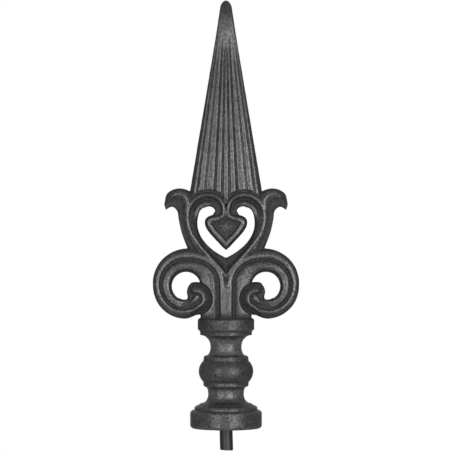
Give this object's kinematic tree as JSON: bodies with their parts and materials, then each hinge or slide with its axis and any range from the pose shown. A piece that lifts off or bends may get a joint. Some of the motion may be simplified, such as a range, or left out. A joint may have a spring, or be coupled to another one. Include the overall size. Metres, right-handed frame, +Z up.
{
  "type": "fence finial",
  "caption": "Cast-iron spear finial: a reeded blade over a pierced heart and scrolled volutes on a turned baluster, with a steel pin below its base to fix it on a post or rail.",
  "frame": {"origin": "centre of the base's flat underside, where the pin enters it", "axes": "+Z up along the spear, +X to the right across the volutes seen from the front, the front face looks towards -Y"},
  "size_m": [0.0892, 0.0438, 0.2744],
  "materials": {
    "cast_iron": "bare sand-cast grey iron, fine grain, dark in the hollows and rubbed brighter on the rims",
    "steel_pin": "dark mill-finish steel rod, smoother than the casting"
  },
  "bodies": {
    "root": {"finial_casting": "cast_iron", "mounting_pin": "steel_pin"}
  },
  "joints": []
}
